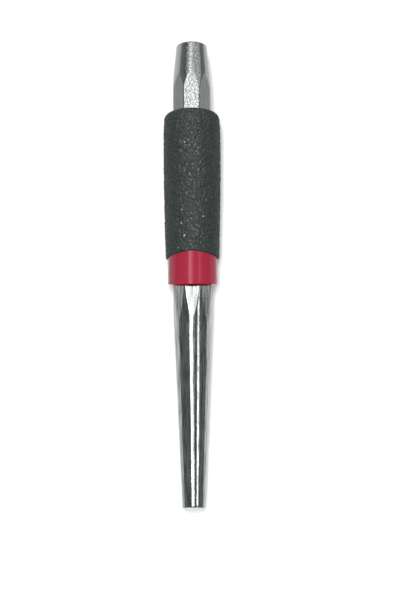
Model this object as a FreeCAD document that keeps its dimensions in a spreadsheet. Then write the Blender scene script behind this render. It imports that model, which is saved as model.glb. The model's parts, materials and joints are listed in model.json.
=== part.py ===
"""A taper-ended hand punch with an octagonal steel bar and a two-layer soft grip.

Every piece is drawn standing up on the tool's own axis, with the flat tip at zero height
and the struck head at the top. The finished pieces are then laid down together: tip towards
-Y, head towards +Y, and +Z up, at the small pitch at which the tool balances on its grip.
All lengths are in millimetres.
"""
import FreeCAD, Part
import math
import os
import Sketcher
from FreeCAD import Placement, Rotation, Vector

PARTS_FOLDER = "parts"
OCTAGON_SIDES = 8

# Driving dimensions: alias, value, meaning. Heights run along the tool's axis from the tip.
DIMENSIONS = [
    ("overall_length", 150.0, "tip face to struck face"),
    ("across_flats", 12.0, "octagonal bar, flat to flat"),
    ("corner_diameter", 12.9, "bar over its slightly eased corners"),
    ("tip_diameter", 6.8, "working end of the taper"),
    ("tip_chamfer", 0.15, "broken edge round the tip"),
    ("taper_meets_flats", 58.6, "height where the taper is as wide as the flats"),
    ("head_diameter", 9.9, "cone of the head, at the struck face"),
    ("head_meets_flats", 139.2, "height where the head cone is as wide as the flats"),
    ("head_chamfer", 0.35, "broken edge round the struck face"),
    ("inner_diameter", 15.5, "inner sleeve, outside"),
    ("inner_bottom", 70.1, "lower end of the inner sleeve, on the axis"),
    ("inner_slant", 12.0, "slant of that end, longest on the upper side, in degrees"),
    ("inner_rounding", 0.4, "rounded lower rim of the inner sleeve"),
    ("grip_bottom", 78.8, "lower end of the outer grip"),
    ("grip_widest", 120.0, "height where the barrel of the grip is widest"),
    ("grip_top", 126.3, "upper end of the outer grip"),
    ("grip_bottom_diameter", 16.8, "barrel of the grip, at its lower end"),
    ("grip_widest_diameter", 18.2, "barrel of the grip, at its widest"),
    ("grip_top_diameter", 17.4, "barrel of the grip, at its upper end"),
    ("grip_top_rounding", 1.4, "rounded upper rim of the grip"),
    ("grip_bottom_rounding", 0.3, "rounded lower rim of the grip"),
    ("grip_end_wall", 1.2, "grip material above the inner sleeve"),
    ("grip_flattening", 0.08, "how far the soft grip flattens where the tool lies on it"),
]

# Grams per cubic millimetre, for finding the balance point.
DENSITY = {
    "steel_punch": 0.00785,
    "red_inner_sleeve": 0.00125,
    "black_outer_grip": 0.00115,
}

doc = FreeCAD.newDocument("taper_punch")
sheet = doc.addObject("Spreadsheet::Sheet", "Dims")


def add_rows(rows, first_row):
    """Put dimensions in the spreadsheet, one alias per row."""
    for row, (alias, value, meaning) in enumerate(rows, start=first_row):
        sheet.set(f"A{row}", alias)
        sheet.set(f"B{row}", str(value))
        sheet.set(f"C{row}", meaning)
        sheet.setAlias(f"B{row}", alias)
    doc.recompute()


add_rows(DIMENSIONS, 1)


def new_body(label):
    body = doc.addObject("PartDesign::Body", label)
    body.Label = label
    return body


def new_sketch(body, name, plane_role):
    """Make a sketch that lies on one of the body's own origin planes."""
    sketch = body.newObject("Sketcher::SketchObject", name)
    planes = [item for item in body.Origin.OriginFeatures if item.Role == plane_role]
    sketch.AttachmentSupport = (planes[0], "")
    sketch.MapMode = "FlatFace"
    return sketch


def drive(sketch, kind, geometry, point, name, expression, value):
    """Measure a sketch point from the sketch origin and bind the distance to the sheet."""
    if value < 0:
        expression = f"-({expression})"
        constraint = Sketcher.Constraint(kind, geometry, point, -1, 1, -value)
    else:
        constraint = Sketcher.Constraint(kind, -1, 1, geometry, point, value)
    index = sketch.addConstraint(constraint)
    sketch.renameConstraint(index, name)
    sketch.setExpression(f"Constraints.{name}", expression)


def outline_sketch(body, name, corners, plane_role="XZ_Plane"):
    """Draw a closed outline of straight lines on a plane through the tool's axis.

    Each corner is (name, radius expression, height expression), and a corner on the axis has
    None for its radius.
    """
    sketch = new_sketch(body, name, plane_role)
    places = []
    for _, radius, height in corners:
        across = value_of(radius) if radius else 0.0
        places.append(Vector(across, value_of(height), 0))
    count = len(places)
    for index in range(count):
        start = places[index]
        end = places[(index + 1) % count]
        sketch.addGeometry(Part.LineSegment(start, end), False)
    for index in range(count):
        following = (index + 1) % count
        sketch.addConstraint(Sketcher.Constraint("Coincident", index, 2, following, 1))
    for index, (corner, radius, height) in enumerate(corners):
        if radius:
            drive(sketch, "DistanceX", index, 1, f"{corner}_radius", radius, places[index].x)
        else:
            sketch.addConstraint(Sketcher.Constraint("PointOnObject", index, 1, -2))
        if height == "0":
            sketch.addConstraint(Sketcher.Constraint("PointOnObject", index, 1, -1))
        else:
            drive(sketch, "DistanceY", index, 1, f"{corner}_height", height, places[index].y)
    return sketch


def value_of(expression):
    """Work out a sheet expression as a plain number."""
    return float(sheet.evalExpression(expression.replace("Dims.", "")))


def octagon_sketch(body, name, blank=None):
    """Draw the bar's octagon, one flat square to each axis.

    With the diameter of a round blank, from the sheet, it also draws a circle well outside
    the blank, so that the sketch is the waste to be cut away round the octagon.
    """
    sketch = new_sketch(body, name, "XY_Plane")
    corner_angle = math.pi / OCTAGON_SIDES
    circumradius = sheet.across_flats / 2 / math.cos(corner_angle)
    corners = []
    for index in range(OCTAGON_SIDES):
        angle = corner_angle * (2 * index - 1)
        corners.append(Vector(circumradius * math.cos(angle), circumradius * math.sin(angle), 0))
    for index, corner in enumerate(corners):
        following = corners[(index + 1) % OCTAGON_SIDES]
        sketch.addGeometry(Part.LineSegment(corner, following), False)
    circle = Part.Circle(Vector(0, 0, 0), Vector(0, 0, 1), circumradius)
    guide = sketch.addGeometry(circle, True)
    sketch.addConstraint(Sketcher.Constraint("Coincident", guide, 3, -1, 1))
    for index in range(OCTAGON_SIDES):
        following = (index + 1) % OCTAGON_SIDES
        sketch.addConstraint(Sketcher.Constraint("Coincident", index, 2, following, 1))
        sketch.addConstraint(Sketcher.Constraint("PointOnObject", index, 1, guide))
        if index > 0:
            sketch.addConstraint(Sketcher.Constraint("Equal", 0, index))
    sketch.addConstraint(Sketcher.Constraint("Vertical", 0))
    size = sketch.addConstraint(Sketcher.Constraint("Radius", guide, circumradius))
    sketch.renameConstraint(size, "circumradius")
    sketch.setExpression("Constraints.circumradius", "Dims.across_flats / 2 / cos(22.5 deg)")
    if blank:
        blank_radius = sheet.get(blank)
        outside = Part.Circle(Vector(0, 0, 0), Vector(0, 0, 1), blank_radius)
        rim = sketch.addGeometry(outside, False)
        sketch.addConstraint(Sketcher.Constraint("Coincident", rim, 3, -1, 1))
        waste = sketch.addConstraint(Sketcher.Constraint("Radius", rim, blank_radius))
        sketch.renameConstraint(waste, "waste_radius")
        sketch.setExpression("Constraints.waste_radius", f"Dims.{blank}")
    return sketch


def turn(body, name, sketch):
    """Revolve an outline about the sketch's upright axis."""
    solid = body.newObject("PartDesign::Revolution", name)
    solid.Profile = sketch
    solid.ReferenceAxis = (sketch, ["V_Axis"])
    solid.Angle = 360.0
    sketch.Visibility = False
    doc.recompute()
    return solid


def cut_through(body, name, sketch, width=None):
    """Cut a sketch through the whole piece, and make sure that it removed something.

    With a width from the sheet, the cut reaches only half that width to each side.
    """
    before = body.Shape.Volume
    pocket = body.newObject("PartDesign::Pocket", name)
    pocket.Profile = sketch
    if width:
        pocket.Type = "Length"
        pocket.SideType = "Symmetric"
        pocket.setExpression("Length", f"Dims.{width}")
    else:
        pocket.Type = "ThroughAll"
        pocket.SideType = "Two sides"
        pocket.Type2 = "ThroughAll"
    doc.recompute()
    removed = before - body.Shape.Volume
    if removed <= 0:
        raise RuntimeError(f"{name} removed nothing")
    return pocket


def round_rim(body, name, height, rounding):
    """Round the widest closed edge whose middle is at one height, by a radius from the sheet."""
    feature = body.Tip
    best_edge = None
    best_width = 0.0
    for index, edge in enumerate(feature.Shape.Edges, start=1):
        if edge.isClosed() and abs(edge.CenterOfMass.z - height) < 0.01:
            if edge.BoundBox.XLength > best_width:
                best_edge = f"Edge{index}"
                best_width = edge.BoundBox.XLength
    if best_edge is None:
        raise RuntimeError(f"{name} found no rim at {height}")
    fillet = body.newObject("PartDesign::Fillet", name)
    fillet.Base = (feature, [best_edge])
    fillet.setExpression("Radius", f"Dims.{rounding}")
    doc.recompute()
    return fillet


def make_steel_punch():
    """The solid bar: long round taper, octagonal shank and coned head."""
    body = new_body("steel_punch")
    tip_radius = "Dims.tip_diameter / 2"
    head_radius = "Dims.head_diameter / 2"
    corner_radius = "Dims.corner_diameter / 2"
    flat_radius = "Dims.across_flats / 2"
    # Both cones run on from the flats' width to the corners' width at an unchanged slope.
    taper_run = f"Dims.taper_meets_flats / ({flat_radius} - {tip_radius})"
    taper_top = f"({corner_radius} - {tip_radius}) * {taper_run}"
    head_run = f"(Dims.overall_length - Dims.head_meets_flats) / ({flat_radius} - {head_radius})"
    head_bottom = f"Dims.overall_length - ({corner_radius} - {head_radius}) * {head_run}"
    outline = outline_sketch(body, "punch_outline", [
        ("tip_middle", None, "0"),
        ("tip_face", f"{tip_radius} - Dims.tip_chamfer", "0"),
        ("tip_edge", tip_radius, "Dims.tip_chamfer"),
        ("taper_top", corner_radius, taper_top),
        ("head_bottom", corner_radius, head_bottom),
        ("head_edge", head_radius, "Dims.overall_length - Dims.head_chamfer"),
        ("head_face", f"{head_radius} - Dims.head_chamfer", "Dims.overall_length"),
        ("head_middle", None, "Dims.overall_length"),
    ])
    turn(body, "turned_bar", outline)
    flats = octagon_sketch(body, "flats_outline", "corner_diameter")
    cut_through(body, "octagonal_flats", flats)
    return body


def make_red_inner_sleeve():
    """The inner sleeve: round outside, octagonal bore on the bar, seen below the grip.

    Its lower end is cut on a slant. Once the tool lies down, local -Y is the upper side.
    """
    body = new_body("red_inner_sleeve")
    outer_radius = "Dims.inner_diameter / 2"
    sleeve_top = "Dims.grip_top - Dims.grip_end_wall"
    blank_bottom = "Dims.inner_bottom - Dims.inner_diameter / 2"
    outline = outline_sketch(body, "inner_outline", [
        ("bottom_middle", None, blank_bottom),
        ("bottom_rim", outer_radius, blank_bottom),
        ("top_rim", outer_radius, sleeve_top),
        ("top_middle", None, sleeve_top),
    ])
    turn(body, "inner_turned", outline)
    waste_side = "Dims.inner_diameter"
    waste_bottom = "Dims.inner_bottom - Dims.inner_diameter"
    rise = f"{waste_side} * tan(Dims.inner_slant * 1 deg)"
    waste = outline_sketch(body, "slant_outline", [
        ("upper_low", f"-{waste_side}", waste_bottom),
        ("under_low", waste_side, waste_bottom),
        ("under_high", waste_side, f"Dims.inner_bottom + {rise}"),
        ("upper_high", f"-{waste_side}", f"Dims.inner_bottom - {rise}"),
    ], "YZ_Plane")
    cut_through(body, "slanted_end", waste)
    round_rim(body, "inner_rim", sheet.inner_bottom, "inner_rounding")
    bore = octagon_sketch(body, "inner_bore_outline")
    cut_through(body, "inner_bore", bore)
    return body


def barrel_arc(end_radius, end_height):
    """One arc of the grip's side, from its widest place to one end, as a list of three points.

    The arc's centre is level with the widest place, so two such arcs meet smoothly.
    """
    widest_radius = sheet.grip_widest_diameter / 2
    run = end_height - sheet.grip_widest
    drop = widest_radius - end_radius
    arc_radius = (run**2 + drop**2) / (2 * drop)
    turned = math.asin(run / arc_radius)
    points = []
    for share in (0.0, 0.5, 1.0):
        across = widest_radius - arc_radius * (1 - math.cos(share * turned))
        height = sheet.grip_widest + arc_radius * math.sin(share * turned)
        points.append(Vector(across, height, 0))
    return points


def make_black_outer_grip():
    """The outer grip: a slight barrel over the inner sleeve, closed in at its upper end."""
    body = new_body("black_outer_grip")
    sketch = new_sketch(body, "grip_outline", "XZ_Plane")
    bottom = sheet.grip_bottom
    top = sheet.grip_top
    widest_radius = sheet.grip_widest_diameter / 2
    bottom_radius = sheet.grip_bottom_diameter / 2
    top_radius = sheet.grip_top_diameter / 2
    low_arc = barrel_arc(bottom_radius, bottom)
    high_arc = barrel_arc(top_radius, top)
    low_axis = Vector(0, bottom, 0)
    high_axis = Vector(0, top, 0)
    sketch.addGeometry(Part.LineSegment(low_axis, low_arc[2]), False)
    sketch.addGeometry(Part.Arc(low_arc[2], low_arc[1], low_arc[0]), False)
    sketch.addGeometry(Part.Arc(high_arc[0], high_arc[1], high_arc[2]), False)
    sketch.addGeometry(Part.LineSegment(high_arc[2], high_axis), False)
    sketch.addGeometry(Part.LineSegment(high_axis, low_axis), False)
    for index in range(5):
        following = (index + 1) % 5
        sketch.addConstraint(Sketcher.Constraint("Coincident", index, 2, following, 1))
    sketch.addConstraint(Sketcher.Constraint("PointOnObject", 0, 1, -2))
    sketch.addConstraint(Sketcher.Constraint("PointOnObject", 4, 1, -2))
    sketch.addConstraint(Sketcher.Constraint("Horizontal", 0))
    sketch.addConstraint(Sketcher.Constraint("Horizontal", 3))
    sketch.addConstraint(Sketcher.Constraint("Horizontal", 1, 3, 1, 2))
    sketch.addConstraint(Sketcher.Constraint("Horizontal", 2, 3, 2, 1))
    drive(sketch, "DistanceX", 0, 2, "low_radius", "Dims.grip_bottom_diameter / 2", bottom_radius)
    drive(sketch, "DistanceY", 0, 2, "low_height", "Dims.grip_bottom", bottom)
    drive(sketch, "DistanceX", 1, 2, "widest_radius", "Dims.grip_widest_diameter / 2",
          widest_radius)
    drive(sketch, "DistanceY", 1, 2, "widest_height", "Dims.grip_widest", sheet.grip_widest)
    drive(sketch, "DistanceX", 2, 2, "high_radius", "Dims.grip_top_diameter / 2", top_radius)
    drive(sketch, "DistanceY", 2, 2, "high_height", "Dims.grip_top", top)
    turn(body, "grip_turned", sketch)
    round_rim(body, "grip_upper_rim", top, "grip_top_rounding")
    round_rim(body, "grip_lower_rim", bottom, "grip_bottom_rounding")

    seat = outline_sketch(body, "sleeve_seat_outline", [
        ("seat_bottom", None, "Dims.inner_bottom"),
        ("seat_mouth", "Dims.inner_diameter / 2", "Dims.inner_bottom"),
        ("seat_shoulder", "Dims.inner_diameter / 2", "Dims.grip_top - Dims.grip_end_wall"),
        ("seat_top", None, "Dims.grip_top - Dims.grip_end_wall"),
    ])
    before = body.Shape.Volume
    groove = body.newObject("PartDesign::Groove", "sleeve_seat")
    groove.Profile = seat
    groove.ReferenceAxis = (seat, ["V_Axis"])
    groove.Angle = 360.0
    doc.recompute()
    if before - body.Shape.Volume <= 0:
        raise RuntimeError("sleeve_seat removed nothing")
    bore = octagon_sketch(body, "grip_bore_outline")
    cut_through(body, "grip_bore", bore)
    return body


def flatten_grip(grip):
    """Flatten the grip's underside where the soft layer rests on the ground.

    The ground plane falls away from the axis towards the head, by the rest pitch.
    """
    waste_side = "Dims.grip_widest_diameter"
    low_end = "Dims.inner_bottom"
    high_end = "Dims.overall_length"
    ground_at_tip = "Dims.rest_tip_height / cos(Dims.rest_pitch * 1 deg)"
    fall = "tan(Dims.rest_pitch * 1 deg)"
    waste = outline_sketch(grip, "rest_flat_outline", [
        ("ground_low", f"{ground_at_tip} + {low_end} * {fall}", low_end),
        ("waste_low", waste_side, low_end),
        ("waste_high", waste_side, high_end),
        ("ground_high", f"{ground_at_tip} + {high_end} * {fall}", high_end),
    ], "YZ_Plane")
    cut_through(grip, "rest_flat", waste, "grip_widest_diameter")


def check_document(bodies):
    """Stop if any object failed, or if a piece is empty or not a valid single solid."""
    for item in doc.Objects:
        if "Invalid" in item.State or "Error" in item.State:
            raise RuntimeError(f"{item.Name} failed: {item.State}")
    for body in bodies:
        shape = body.Shape
        if shape.isNull() or not shape.isValid() or len(shape.Solids) != 1:
            raise RuntimeError(f"{body.Label} is not one valid solid")


def balance_height(bodies):
    """Height of the whole tool's centre of mass above the tip, along the axis."""
    mass = 0.0
    moment = 0.0
    for body in bodies:
        piece_mass = body.Shape.Volume * DENSITY[body.Label]
        mass += piece_mass
        moment += piece_mass * body.Shape.CenterOfGravity.z
    return moment / mass


def find_rest(bodies):
    """Work out how the tool lies on its grip, and add it to the sheet.

    The long lower part of the grip's side is one circular arc. A body that rocks on an arc
    comes to rest with its centre of mass straight below the arc's centre, so the ground is
    square to the line through those two points, one arc radius from the arc's centre. The
    grip flattens a little there, which brings the ground nearer.
    """
    low_arc = barrel_arc(sheet.grip_bottom_diameter / 2, sheet.grip_bottom)
    side = Part.Arc(*low_arc).toShape().Curve
    pitch = math.atan2(side.Center.y - balance_height(bodies), -side.Center.x)
    centre_above_tip = side.Center.y * math.sin(pitch) - side.Center.x * math.cos(pitch)
    tip_height = side.Radius - sheet.grip_flattening - centre_above_tip
    add_rows([
        ("rest_pitch", math.degrees(pitch), "how far the head end is raised, in degrees"),
        ("rest_tip_height", tip_height, "middle of the tip face above the ground"),
    ], len(DIMENSIONS) + 1)


def lay_down(bodies):
    """Lay every piece down alike on its grip, with the origin half way along the ground."""
    rotation = Rotation(Vector(1, 0, 0), sheet.rest_pitch - 90)
    steel_punch.Placement = Placement(Vector(0, 0, 0), rotation)
    length_box = steel_punch.Shape.optimalBoundingBox(False, False)
    tip_middle = Vector(0, -length_box.Center.y, sheet.rest_tip_height)
    for body in bodies:
        body.Placement = Placement(tip_middle, rotation)
    doc.recompute()
    print(f"pitch {sheet.rest_pitch:.4f} degrees, middle of the tip face at {tip_middle}")


def write_parts(bodies):
    os.makedirs(PARTS_FOLDER, exist_ok=True)
    for body in bodies:
        body.Shape.exportStep(os.path.join(PARTS_FOLDER, f"{body.Label}.step"))


steel_punch = make_steel_punch()
red_inner_sleeve = make_red_inner_sleeve()
black_outer_grip = make_black_outer_grip()
punch_pieces = [steel_punch, red_inner_sleeve, black_outer_grip]
find_rest(punch_pieces)
flatten_grip(black_outer_grip)
check_document(punch_pieces)
lay_down(punch_pieces)
check_document(punch_pieces)
write_parts(punch_pieces)
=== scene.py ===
"""A taper-ended hand punch lying on its soft grip, seen from above.

Every piece is a surface swept round the tool's own axis. Places on the tool are given by
their height along that axis, from the flat tip to the struck head, and by the angle round
it, from straight across (+X) towards straight up. Lengths are in metres.
"""
import json
import math

import bpy
import numpy as np
from mathutils import Matrix, Vector, noise


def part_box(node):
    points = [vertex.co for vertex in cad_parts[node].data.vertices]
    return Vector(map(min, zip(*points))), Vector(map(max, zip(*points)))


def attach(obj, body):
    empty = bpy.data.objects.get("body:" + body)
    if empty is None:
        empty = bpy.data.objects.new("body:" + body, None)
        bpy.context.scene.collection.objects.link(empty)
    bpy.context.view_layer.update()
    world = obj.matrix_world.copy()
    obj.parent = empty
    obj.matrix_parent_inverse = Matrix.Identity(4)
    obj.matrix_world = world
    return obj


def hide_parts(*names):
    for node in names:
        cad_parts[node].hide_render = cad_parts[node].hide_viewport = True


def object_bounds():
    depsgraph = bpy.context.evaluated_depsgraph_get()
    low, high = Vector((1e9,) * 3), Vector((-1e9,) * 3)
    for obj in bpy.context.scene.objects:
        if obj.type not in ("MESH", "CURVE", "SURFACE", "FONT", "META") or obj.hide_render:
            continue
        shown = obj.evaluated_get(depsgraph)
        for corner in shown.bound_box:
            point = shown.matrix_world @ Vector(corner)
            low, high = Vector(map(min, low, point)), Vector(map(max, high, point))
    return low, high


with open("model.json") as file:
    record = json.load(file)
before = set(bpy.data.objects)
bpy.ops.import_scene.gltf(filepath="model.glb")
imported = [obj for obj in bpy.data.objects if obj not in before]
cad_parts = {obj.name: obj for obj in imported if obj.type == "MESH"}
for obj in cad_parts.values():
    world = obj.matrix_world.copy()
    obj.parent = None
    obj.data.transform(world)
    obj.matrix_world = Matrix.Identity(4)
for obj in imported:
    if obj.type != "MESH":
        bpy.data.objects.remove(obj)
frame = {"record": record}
cad_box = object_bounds()

MM = 0.001

# The tool's axis, from the flat faces at its two ends.
MOUNTS = {mount["name"]: mount for mount in frame["record"]["mounts"]}
TIP = Vector(MOUNTS["tip_face"]["pos_m"])
HEAD = Vector(MOUNTS["struck_face"]["pos_m"])
LENGTH = (HEAD - TIP).length
ALONG = (HEAD - TIP).normalized()
ACROSS = Vector((1, 0, 0))
UP = ACROSS.cross(ALONG)

# Steel bar.
FLAT_RADIUS = (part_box("steel_punch")[1][0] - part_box("steel_punch")[0][0]) / 2
CORNER_ROUNDING = 0.28 * MM
TIP_RADIUS = 3.4 * MM
TIP_ROUNDING = 0.15 * MM
TAPER_MEETS_FLATS = 58.6 * MM
HEAD_RADIUS = 4.95 * MM
HEAD_ROUNDING = 0.35 * MM
HEAD_MEETS_FLATS = 139.2 * MM
EDGE_BLEND = 0.03 * MM
OCTAGON_SIDES = 8

# Soft grip.
INNER_RADIUS = 7.75 * MM
INNER_BOTTOM = 70.1 * MM
INNER_SLANT = math.tan(math.radians(12.0))
INNER_ROUNDING = 0.4 * MM
GRIP_BOTTOM = 78.8 * MM
GRIP_WIDEST = 120.0 * MM
GRIP_TOP = 126.3 * MM
GRIP_BOTTOM_RADIUS = 8.4 * MM
GRIP_WIDEST_RADIUS = 9.1 * MM
GRIP_TOP_RADIUS = 8.7 * MM
GRIP_TOP_ROUNDING = 1.4 * MM
GRIP_BOTTOM_ROUNDING = 0.3 * MM
GRIP_END_WALL = 1.2 * MM
GRIP_MOUTH_RADIUS = 6.9 * MM
RIM_DROP = 0.15 * MM
RIM_RISE = 0.7 * MM
RIM_FADE = 8.0 * MM
PEBBLE_HEIGHT = 0.22 * MM
PEBBLE_SIZE = 0.75 * MM
PEBBLE_DETAIL_SIZE = 0.4 * MM


# ---------------------------------------------------------------- shapes


def points_on_ring(height, radii, angles):
    """World points at one height, or at one height for each angle."""
    heights = np.broadcast_to(height, angles.shape)
    across = radii * np.cos(angles)
    up = radii * np.sin(angles)
    return (
        np.array(TIP)
        + heights[:, None] * np.array(ALONG)
        + across[:, None] * np.array(ACROSS)
        + up[:, None] * np.array(UP)
    )


def sweep(name, rings, closed):
    """Join rings of points into one mesh.

    A closed sweep joins its last ring to its first, as a sleeve does. Otherwise each end is
    filled by a fan round the middle of its ring.
    """
    count = len(rings[0])
    points = np.concatenate(rings)
    faces = []
    last = len(rings) if closed else len(rings) - 1
    for row in range(last):
        low = row * count
        high = ((row + 1) % len(rings)) * count
        for column in range(count):
            following = (column + 1) % count
            faces.append((low + column, low + following, high + following, high + column))
    if not closed:
        top_row = (len(rings) - 1) * count
        low_middle = len(points)
        high_middle = low_middle + 1
        points = np.concatenate([points, [rings[0].mean(axis=0), rings[-1].mean(axis=0)]])
        for column in range(count):
            following = (column + 1) % count
            faces.append((low_middle, following, column))
            faces.append((high_middle, top_row + column, top_row + following))
    mesh = bpy.data.meshes.new(name)
    mesh.from_pydata(points.tolist(), [], faces)
    mesh.shade_smooth()
    mesh.update()
    piece = bpy.data.objects.new(name, mesh)
    bpy.context.scene.collection.objects.link(piece)
    return piece


def smooth_min(first, second, blend):
    """The smaller of two values, with the corner between them rounded off."""
    share = np.clip(0.5 + 0.5 * (second - first) / blend, 0, 1)
    return second * (1 - share) + first * share - blend * share * (1 - share)


def octagon_radius(angles):
    """Distance from the axis to the bar's octagon, with its corners rounded."""
    half_side = math.pi / OCTAGON_SIDES
    from_flat = (angles + half_side) % (2 * half_side) - half_side
    flat = FLAT_RADIUS / np.cos(from_flat)
    from_corner = half_side - np.abs(from_flat)
    centre = (FLAT_RADIUS - CORNER_ROUNDING) / math.cos(half_side)
    inside = np.clip(CORNER_ROUNDING**2 - (centre * np.sin(from_corner)) ** 2, 0, None)
    corner = centre * np.cos(from_corner) + np.sqrt(inside)
    flat_ends = math.atan((FLAT_RADIUS - CORNER_ROUNDING) * math.tan(half_side) / FLAT_RADIUS)
    return np.where(np.abs(from_flat) > flat_ends, corner, flat)


def cone_radius(height):
    """Radius of the bar before its flats are cut: the taper, then the cone of the head."""
    taper = TIP_RADIUS + (FLAT_RADIUS - TIP_RADIUS) * height / TAPER_MEETS_FLATS
    head_slope = (FLAT_RADIUS - HEAD_RADIUS) / (LENGTH - HEAD_MEETS_FLATS)
    head = HEAD_RADIUS + head_slope * (LENGTH - height)
    return min(taper, head)


def quarter_round(rounding, steps):
    """Setbacks (from the end, from the side) round a rim, from the end face to the side."""
    turns = np.linspace(0, math.pi / 2, steps)
    return [(rounding * (1 - math.sin(t)), rounding * (1 - math.cos(t))) for t in turns[::-1]]


def spaced(start, stop, step):
    """Even places from start up to but not including stop, about one step apart."""
    count = max(2, int(round((stop - start) / step)) + 1)
    return np.linspace(start, stop, count)[:-1]


def ripple(points, size, seed):
    """Smooth noise from -1 to 1 with lumps of the given size."""
    offset = Vector((seed, 2.7 * seed, -1.3 * seed))
    return np.array([noise.noise(Vector(point) / size + offset) for point in points])


def make_steel_punch():
    """The bar: flat tip, long taper, octagonal shank, coned head."""
    angles = np.linspace(0, 2 * math.pi, OCTAGON_SIDES * 32, endpoint=False)
    octagon = octagon_radius(angles)
    rings = []
    for share in (0.25, 0.5, 0.75):
        rings.append(points_on_ring(0.0, share * TIP_RADIUS * np.ones_like(angles), angles))
    for from_end, from_side in quarter_round(TIP_ROUNDING, 5):
        radii = (cone_radius(from_end) - from_side) * np.ones_like(angles)
        rings.append(points_on_ring(from_end, radii, angles))
    # Rings are closest where the flats run out into the two cones.
    heights = np.concatenate([
        spaced(1.0 * MM, 46.0 * MM, 0.7 * MM),
        spaced(46.0 * MM, 70.0 * MM, 0.2 * MM),
        spaced(70.0 * MM, 123.0 * MM, 3.0 * MM),
        spaced(123.0 * MM, 132.0 * MM, 0.6 * MM),
        spaced(132.0 * MM, 142.0 * MM, 0.2 * MM),
        spaced(142.0 * MM, LENGTH - HEAD_ROUNDING, 0.4 * MM),
    ])
    for height in heights:
        radii = smooth_min(octagon, cone_radius(height), EDGE_BLEND)
        rings.append(points_on_ring(height, radii, angles))
    for from_end, from_side in reversed(quarter_round(HEAD_ROUNDING, 6)):
        radii = (cone_radius(LENGTH - from_end) - from_side) * np.ones_like(angles)
        rings.append(points_on_ring(LENGTH - from_end, radii, angles))
    for share in (0.75, 0.5, 0.25):
        rings.append(points_on_ring(LENGTH, share * HEAD_RADIUS * np.ones_like(angles), angles))
    return sweep("punch_bar", rings, closed=False)


def make_inner_sleeve():
    """The red layer: a round sleeve with a slanted lower end and an octagonal bore."""
    angles = np.linspace(0, 2 * math.pi, OCTAGON_SIDES * 24, endpoint=False)
    bore = octagon_radius(angles)
    slant = INNER_SLANT * np.sin(angles)
    top = GRIP_TOP - GRIP_END_WALL
    rings = [points_on_ring(INNER_BOTTOM - slant * bore, bore, angles)]
    for from_end, from_side in quarter_round(INNER_ROUNDING, 7):
        radii = (INNER_RADIUS - from_side) * np.ones_like(angles)
        rings.append(points_on_ring(INNER_BOTTOM + from_end - slant * radii, radii, angles))
    radii = INNER_RADIUS * np.ones_like(angles)
    start = INNER_BOTTOM + INNER_ROUNDING - slant * radii
    for share in np.linspace(0, 1, 30)[1:]:
        height = start * (1 - share) + (GRIP_BOTTOM + 1.0 * MM) * share
        rings.append(points_on_ring(height, radii, angles))
    rings.append(points_on_ring(top, radii, angles))
    rings.append(points_on_ring(top, bore, angles))
    return sweep("inner_sleeve", rings, closed=True)


def grip_radius(height):
    """Radius of the grip's barrel, which curves in from its widest place to both ends."""
    if height < GRIP_WIDEST:
        end, radius = GRIP_BOTTOM, GRIP_BOTTOM_RADIUS
    else:
        end, radius = GRIP_TOP, GRIP_TOP_RADIUS
    share = (height - GRIP_WIDEST) / (end - GRIP_WIDEST)
    return GRIP_WIDEST_RADIUS - (GRIP_WIDEST_RADIUS - radius) * share**2


def make_outer_grip():
    """The black layer: a pebbled barrel, closed in round the bar at its upper end.

    Its lower rim isn't quite level: the dip line is drawn up a little on the upper side.
    """
    angles = np.linspace(0, 2 * math.pi, 390, endpoint=False)
    ones = np.ones_like(angles)
    bore = octagon_radius(angles)
    rim = RIM_RISE * np.clip(np.sin(angles), 0, 1) ** 6 - RIM_DROP
    profile = []
    for from_end, from_side in quarter_round(GRIP_BOTTOM_ROUNDING, 5):
        height = GRIP_BOTTOM + from_end
        profile.append((height, grip_radius(height) - from_side))
    low = GRIP_BOTTOM + 1.5 * GRIP_BOTTOM_ROUNDING
    high = GRIP_TOP - 1.1 * GRIP_TOP_ROUNDING
    for height in spaced(low, high, 0.2 * MM):
        profile.append((height, grip_radius(height)))
    for from_end, from_side in reversed(quarter_round(GRIP_TOP_ROUNDING, 10)):
        height = GRIP_TOP - from_end
        profile.append((height, grip_radius(height) - from_side))
    profile.append((GRIP_TOP, GRIP_MOUTH_RADIUS))
    rings = []
    for height, radius in profile:
        heights = height + rim * max(0.0, 1 - (height - GRIP_BOTTOM) / RIM_FADE)
        smooth = points_on_ring(heights, radius * ones, angles)
        pebbles = ripple(smooth, PEBBLE_SIZE, 3.1) * PEBBLE_HEIGHT
        pebbles += ripple(smooth, PEBBLE_DETAIL_SIZE, 8.4) * 0.5 * PEBBLE_HEIGHT
        rings.append(points_on_ring(heights, radius + pebbles, angles))
    seat_top = GRIP_TOP - GRIP_END_WALL
    rings.append(points_on_ring(GRIP_TOP, bore, angles))
    rings.append(points_on_ring(seat_top, bore, angles))
    rings.append(points_on_ring(seat_top, INNER_RADIUS * ones, angles))
    rings.append(points_on_ring(GRIP_BOTTOM + rim, INNER_RADIUS * ones, angles))
    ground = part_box("black_outer_grip")[0][2]
    for ring in rings:
        ring[:, 2] = np.maximum(ring[:, 2], ground)
    return sweep("outer_grip", rings, closed=True)


# ---------------------------------------------------------------- materials


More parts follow.
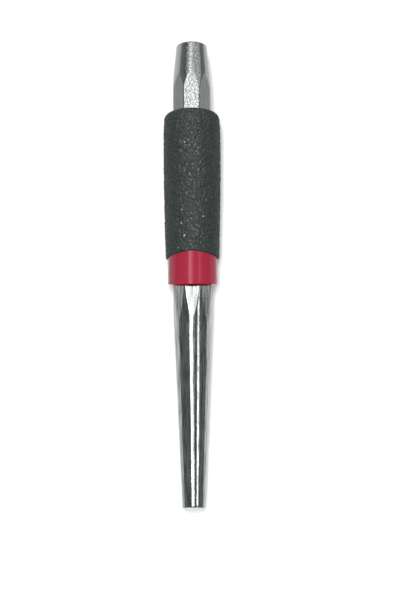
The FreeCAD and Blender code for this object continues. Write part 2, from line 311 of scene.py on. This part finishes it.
class Nodes:
    """A small helper that adds nodes to one node tree."""

    def __init__(self, tree, coordinates):
        self.tree = tree
        self.place = self.add("ShaderNodeTexCoord").outputs[coordinates]

    def add(self, kind, **settings):
        node = self.tree.nodes.new(kind)
        for name, value in settings.items():
            setattr(node, name, value)
        return node

    def link(self, start, end):
        self.tree.links.new(start, end)

    def noise(self, size, detail=2.0, roughness=0.5, stretch=(1, 1, 1)):
        """Noise with features of the given size, in metres."""
        mapping = self.add("ShaderNodeMapping")
        mapping.inputs["Scale"].default_value = [axis / size for axis in stretch]
        self.link(self.place, mapping.inputs["Vector"])
        texture = self.add("ShaderNodeTexNoise")
        texture.inputs["Scale"].default_value = 1.0
        texture.inputs["Detail"].default_value = detail
        texture.inputs["Roughness"].default_value = roughness
        self.link(mapping.outputs["Vector"], texture.inputs["Vector"])
        return texture.outputs["Fac"]

    def spread(self, value, low, high, from_low=0.0, from_high=1.0):
        """Map a value to a new range."""
        node = self.add("ShaderNodeMapRange")
        node.inputs["From Min"].default_value = from_low
        node.inputs["From Max"].default_value = from_high
        node.inputs["To Min"].default_value = low
        node.inputs["To Max"].default_value = high
        self.link(value, node.inputs["Value"])
        return node.outputs["Result"]

    def blend(self, factor, first, second):
        """Mix two colours. The first can be another output."""
        node = self.add("ShaderNodeMix", data_type="RGBA")
        if isinstance(first, tuple):
            node.inputs["A"].default_value = (*first, 1)
        else:
            self.link(first, node.inputs["A"])
        node.inputs["B"].default_value = (*second, 1)
        self.link(factor, node.inputs["Factor"])
        return node.outputs["Result"]

    def part(self, vector, axis):
        """One part of a vector."""
        node = self.add("ShaderNodeSeparateXYZ")
        self.link(vector, node.inputs["Vector"])
        return node.outputs[axis]

    def math(self, operation, *values):
        node = self.add("ShaderNodeMath", operation=operation)
        for index, value in enumerate(values):
            if isinstance(value, (int, float)):
                node.inputs[index].default_value = value
            else:
                self.link(value, node.inputs[index])
        return node.outputs["Value"]

    def multiply_add(self, value, factor, offset):
        """A value times a factor, plus an offset."""
        return self.math("MULTIPLY_ADD", value, factor, offset)

    def multiply(self, first, second):
        return self.math("MULTIPLY", first, second)

    def sum(self, first, second):
        return self.math("ADD", first, second)

    def at_least(self, value, lowest):
        return self.math("MAXIMUM", value, lowest)

    def at_most(self, value, highest):
        return self.math("MINIMUM", value, highest)

    def bump(self, height, depth):
        """Bump by a height from 0 to 1 times a depth, a number or another output."""
        node = self.add("ShaderNodeBump")
        node.inputs["Strength"].default_value = 1.0
        node.inputs["Distance"].default_value = 1.0
        self.link(self.multiply(height, depth), node.inputs["Height"])
        return node.outputs["Normal"]


class Shader(Nodes):
    """The nodes of one new material, placed by the tool's own coordinates."""

    def __init__(self, name):
        self.material = bpy.data.materials.new(name)
        self.material.use_nodes = True
        super().__init__(self.material.node_tree, "Object")
        self.surface = self.tree.nodes["Principled BSDF"]

    def along(self):
        """Place along the tool, in metres from its middle."""
        return self.part(self.place, "Y")

    def upward(self):
        """How far the surface faces up, from 1 facing up to -1 facing down."""
        return self.part(self.add("ShaderNodeNewGeometry").outputs["Normal"], "Z")

    def set(self, **values):
        """Set plain numbers on the surface shader's own sockets."""
        for name, value in values.items():
            self.surface.inputs[name.replace("_", " ")].default_value = value


def steel_material():
    """Bright nickel plate over ground steel, coarser on the flats than on the taper.

    The upper side of the flats and of the head is grainier than the rest.
    """
    shader = Shader("plated_steel")
    coarse = shader.spread(shader.along(), 0.0, 1.0, -8 * MM, 4 * MM)
    upper = shader.spread(shader.upward(), 0.0, 1.0, 0.82, 0.93)
    pitted = shader.multiply(coarse, upper)

    streaks = shader.noise(0.5 * MM, detail=2.0, stretch=(1, 0.05, 1))
    drawn = shader.spread(streaks, -1.0, 1.0, 0.35, 0.65)
    grain = shader.noise(0.5 * MM, detail=2.0, roughness=0.7)
    speckle = shader.spread(grain, -1.0, 1.0, 0.36, 0.68)
    lines = shader.multiply(drawn, shader.multiply_add(coarse, -0.45, 0.55))
    spots = shader.multiply(speckle, shader.multiply_add(pitted, 0.42, 0.12))
    change = shader.sum(shader.sum(lines, spots), shader.multiply(pitted, -0.3))
    colour = shader.blend(shader.multiply_add(change, 0.5, 0.5),
                          (0.115, 0.12, 0.115), (0.575, 0.59, 0.58))
    shader.link(colour, shader.surface.inputs["Base Color"])

    smear = shader.noise(4.0 * MM, detail=3.0)
    polish = shader.multiply_add(smear, 0.06, 0.07)
    rough = shader.multiply(coarse, 0.05)
    shader.link(shader.sum(polish, rough), shader.surface.inputs["Roughness"])
    depth = shader.multiply_add(pitted, 0.05 * MM, 0.02 * MM)
    shader.link(shader.bump(grain, depth), shader.surface.inputs["Normal"])
    shader.set(Metallic=1.0)
    return shader.material


def red_material():
    """Glossy crimson vinyl."""
    shader = Shader("crimson_vinyl")
    cloud = shader.noise(3.0 * MM, detail=2.0)
    colour = shader.blend(cloud, (0.252, 0.0145, 0.034), (0.305, 0.021, 0.045))
    shader.link(colour, shader.surface.inputs["Base Color"])
    skin = shader.noise(0.7 * MM, detail=2.0)
    shader.link(shader.spread(skin, 0.12, 0.22), shader.surface.inputs["Roughness"])
    shader.link(shader.bump(skin, 0.008 * MM), shader.surface.inputs["Normal"])
    shader.set(Specular_IOR_Level=0.21)
    return shader.material


def black_material():
    """Charcoal rubber with a pebbled skin. Its pebbles carry painted sheen along the upper
    side, with a few painted glints among them.
    """
    shader = Shader("pebbled_rubber")
    pebble = shader.noise(0.75 * MM, detail=3.0, roughness=0.6)
    colour = shader.blend(shader.spread(pebble, 0.0, 1.0, 0.35, 0.65),
                          (0.0092, 0.0142, 0.0126), (0.0225, 0.0300, 0.0277))
    upper = shader.spread(shader.upward(), 0.0, 1.0, 0.90, 0.985)
    # Painted sheen: pebbles on the upper side are painted paler, standing in for the lamps'
    # reflection on them.
    painted_sheen = shader.spread(shader.noise(0.6 * MM, detail=1.0), 0.0, 1.0, 0.55, 0.75)
    colour = shader.blend(shader.multiply(upper, painted_sheen), colour, (0.115, 0.124, 0.121))
    # Painted glints: a few near-white flecks on the upper side stand in for bright glints of
    # the lamps.
    painted_glint = shader.spread(shader.noise(0.9 * MM, detail=0.0), 0.0, 1.0, 0.785, 0.83)
    colour = shader.blend(shader.multiply(upper, painted_glint), colour, (0.50, 0.51, 0.50))
    shader.link(colour, shader.surface.inputs["Base Color"])
    polish = shader.spread(pebble, 0.5, 0.25)
    dull = shader.multiply_add(upper, -0.2, 0.2)
    shader.link(shader.sum(polish, dull), shader.surface.inputs["Roughness"])
    shader.link(shader.bump(pebble, 0.4 * MM), shader.surface.inputs["Normal"])
    return shader.material


def floor_material():
    """White paper with a faint tooth."""
    shader = Shader("white_paper")
    tooth = shader.noise(1.5 * MM, detail=3.0)
    colour = shader.blend(tooth, (0.79, 0.79, 0.79), (0.82, 0.82, 0.82))
    shader.link(colour, shader.surface.inputs["Base Color"])
    shader.set(Roughness=0.9, Specular_IOR_Level=0.2)
    return shader.material


# ---------------------------------------------------------------- stage

FLOOR_HALF = 2.0
LIGHT_DISTANCE = 1.4

ROOM_COLOUR = (0.215, 0.232, 0.222)
PALE_COLOUR = (1.05, 1.06, 1.05)

CAMERA_AIM = 65.75 * MM
CAMERA_SIDE = 2.46 * MM
CAMERA_TILT = math.radians(12.32)
CAMERA_ROLL = math.radians(-0.336)
CAMERA_DISTANCE = 453.8 * MM
CAMERA_LENS = 86.98


def make_floor():
    """Plain paper. Mirror reflections below the horizon show the room instead."""
    corners = [(-FLOOR_HALF, -FLOOR_HALF, 0), (FLOOR_HALF, -FLOOR_HALF, 0),
               (FLOOR_HALF, FLOOR_HALF, 0), (-FLOOR_HALF, FLOOR_HALF, 0)]
    mesh = bpy.data.meshes.new("floor")
    mesh.from_pydata(corners, [], [(0, 1, 2, 3)])
    floor = bpy.data.objects.new("floor", mesh)
    floor.location.z = cad_box[0][2]
    bpy.context.scene.collection.objects.link(floor)
    floor.data.materials.append(floor_material())
    floor.visible_glossy = False


def softbox(name, rights, aways, brightness, mirrored=True):
    """A lit panel facing the tool, seen in its mirror reflections or else lighting it.

    It spans the angles rights (towards +X) and aways (towards +Y) from straight overhead, in
    degrees.
    """
    right_angle = math.radians(sum(rights) / 2)
    away_angle = math.radians(sum(aways) / 2)
    direction = Vector((math.tan(right_angle), math.tan(away_angle), 1)).normalized()
    data = bpy.data.lights.new(name, "AREA")
    data.shape = "RECTANGLE"
    data.size = 2 * LIGHT_DISTANCE * math.tan(math.radians((rights[1] - rights[0]) / 2))
    data.size_y = 2 * LIGHT_DISTANCE * math.tan(math.radians((aways[1] - aways[0]) / 2))
    data.energy = brightness * data.size * data.size_y * math.pi
    lamp = bpy.data.objects.new(name, data)
    side = Vector((0, 1, 0)).cross(direction).normalized()
    lengthwise = direction.cross(side)
    turned = Matrix((side, lengthwise, direction)).transposed()
    lamp.matrix_world = Matrix.Translation(direction * LIGHT_DISTANCE) @ turned.to_4x4()
    lamp.visible_glossy = mirrored
    lamp.visible_diffuse = not mirrored
    bpy.context.scene.collection.objects.link(lamp)


def make_lights():
    softbox("main_panel_near", (-15.5, 7.5), (-12.0, -2.0), 2.8)
    softbox("main_panel_middle", (-18.5, 0.5), (-2.0, 1.0), 2.8)
    softbox("main_panel_notch", (-19.0, -2.0), (1.0, 4.6), 2.8)
    softbox("main_panel_far", (-20.0, 2.0), (4.6, 23.0), 2.8)
    softbox("main_panel_core", (-14.0, -7.0), (-10.0, 22.0), 6.0)
    softbox("notch_glow", (-2.0, 10.0), (2.2, 4.8), 1.1)
    softbox("main_panel_end", (-9.5, 1.5), (23.0, 40.0), 2.4)
    softbox("far_panel", (-24.0, 53.0), (25.0, 43.0), 1.1)
    softbox("side_tube_near", (32.5, 45.5), (-12.0, 0.0), 2.9)
    softbox("side_tube_far", (29.8, 37.5), (0.0, 24.0), 2.9)
    softbox("fill_panel", (-9.0, 3.0), (-22.0, 8.0), 31.0, mirrored=False)
    softbox("ambient_panel", (-50.0, 50.0), (-50.0, 50.0), 0.3, mirrored=False)


def make_world():
    """A dim room over a pale lower half, which steel mirrors in place of the paper.

    The pale half starts lower towards the tip of the tool and to its right. Its edge is soft
    towards the head.
    """
    world = bpy.data.worlds.new("room")
    bpy.context.scene.world = world
    world.use_nodes = True
    room = Nodes(world.node_tree, "Generated")
    sideways = room.part(room.place, "X")
    lengthwise = room.part(room.place, "Y")
    headward = room.at_least(room.sum(lengthwise, -0.4), 0.0)
    tipward = room.spread(lengthwise, 0.06, 0.0, 0.16, 0.24)
    # How high the pale half starts, from 0 at the horizon to -1 straight down.
    start = room.at_least(room.multiply_add(lengthwise, 1.98, -0.43), -0.36)
    start = room.at_most(start, 0.0)
    lean = room.math("SUBTRACT", room.multiply_add(headward, -1.8, 0.01), tipward)
    offset = room.multiply_add(headward, -0.5, tipward)
    start = room.sum(start, room.sum(offset, room.multiply(sideways, lean)))
    below = room.math("SUBTRACT", start, room.part(room.place, "Z"))
    softness = room.multiply_add(headward, 1.6, 0.1)
    share = room.sum(room.math("DIVIDE", below, softness), 0.5)
    share = room.at_most(room.at_least(share, room.multiply(headward, 1.1)), 1.0)
    colour = room.blend(share, ROOM_COLOUR, PALE_COLOUR)
    room.link(colour, world.node_tree.nodes["Background"].inputs["Color"])


def make_camera():
    """A camera above the tool, moved towards the tip and tilted to look back at it."""
    data = bpy.data.cameras.new("camera")
    data.lens = CAMERA_LENS
    camera = bpy.data.objects.new("camera", data)
    aim = TIP + ALONG * CAMERA_AIM + ACROSS * CAMERA_SIDE
    back = UP * math.cos(CAMERA_TILT) - ALONG * math.sin(CAMERA_TILT)
    top = ALONG * math.cos(CAMERA_TILT) + UP * math.sin(CAMERA_TILT)
    right = top.cross(back)
    turned = Matrix((right, top, back)).transposed() @ Matrix.Rotation(CAMERA_ROLL, 3, "Z")
    camera.matrix_world = Matrix.Translation(aim + back * CAMERA_DISTANCE) @ turned.to_4x4()
    bpy.context.scene.collection.objects.link(camera)
    bpy.context.scene.camera = camera


def finish_piece(piece, node, material):
    piece.data.materials.append(material)
    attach(piece, "root")
    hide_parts(node)


make_camera()
make_floor()
make_lights()
make_world()
bpy.context.scene.view_settings.view_transform = "Standard"

finish_piece(make_steel_punch(), "steel_punch", steel_material())
finish_piece(make_inner_sleeve(), "red_inner_sleeve", red_material())
finish_piece(make_outer_grip(), "black_outer_grip", black_material())
